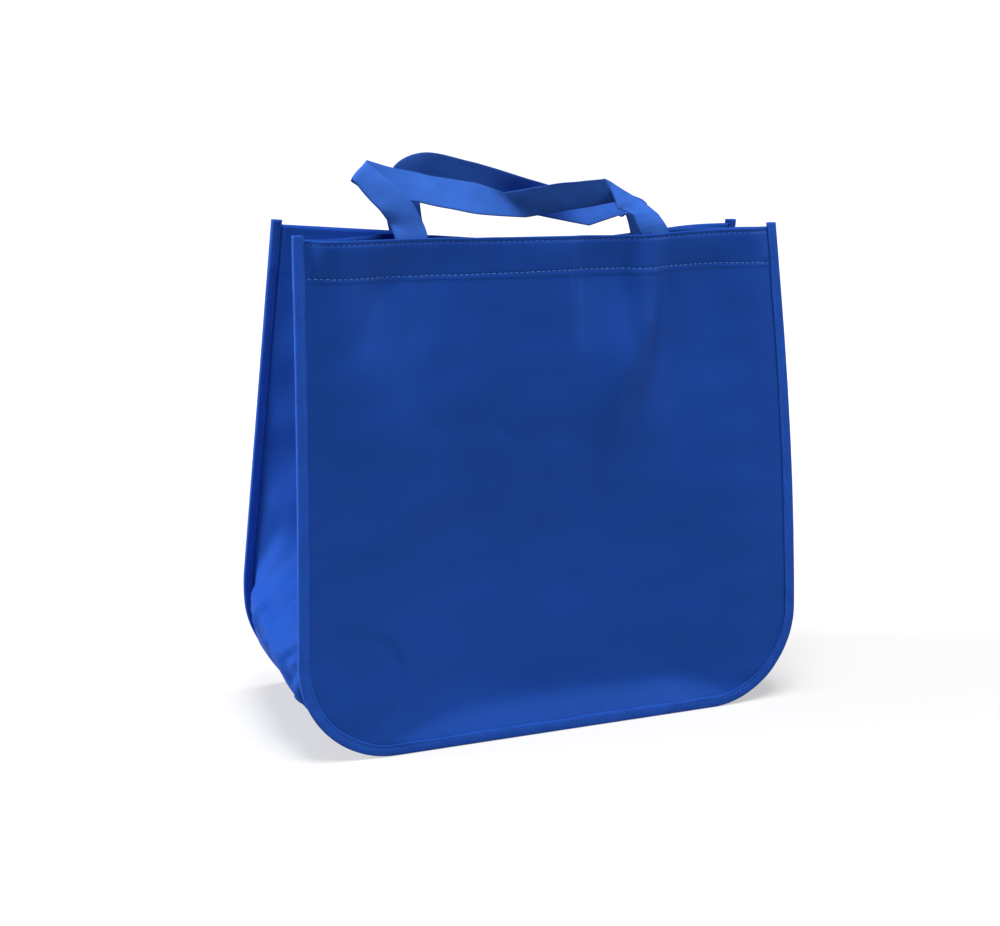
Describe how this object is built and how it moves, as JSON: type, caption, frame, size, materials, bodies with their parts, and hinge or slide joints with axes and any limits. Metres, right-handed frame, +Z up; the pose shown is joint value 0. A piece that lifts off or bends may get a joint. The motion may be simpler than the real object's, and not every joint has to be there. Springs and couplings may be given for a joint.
{
  "type": "shopping tote bag",
  "caption": "Open laminated shopping tote with rounded lower corners, side gusset, taped seams and short flat carrying straps.",
  "frame": {"origin": "middle of the bag's box in X and Y, at the floor", "axes": "+Z up to the straps, -Y out of the front panel, +X to the right as seen from the front"},
  "size_m": [0.3996, 0.1672, 0.4134],
  "materials": {
    "laminate_panel": "satin laminate over woven polypropylene",
    "laminate_gusset": "satin laminate over woven polypropylene",
    "binding_tape": "matt woven tape",
    "strap_fabric": "matt nonwoven"
  },
  "bodies": {
    "root": {"front_panel": "laminate_panel", "back_panel": "laminate_panel", "gusset": "laminate_gusset", "front_binding": "binding_tape", "back_binding": "binding_tape", "front_strap": "strap_fabric", "back_strap": "strap_fabric"}
  },
  "joints": []
}
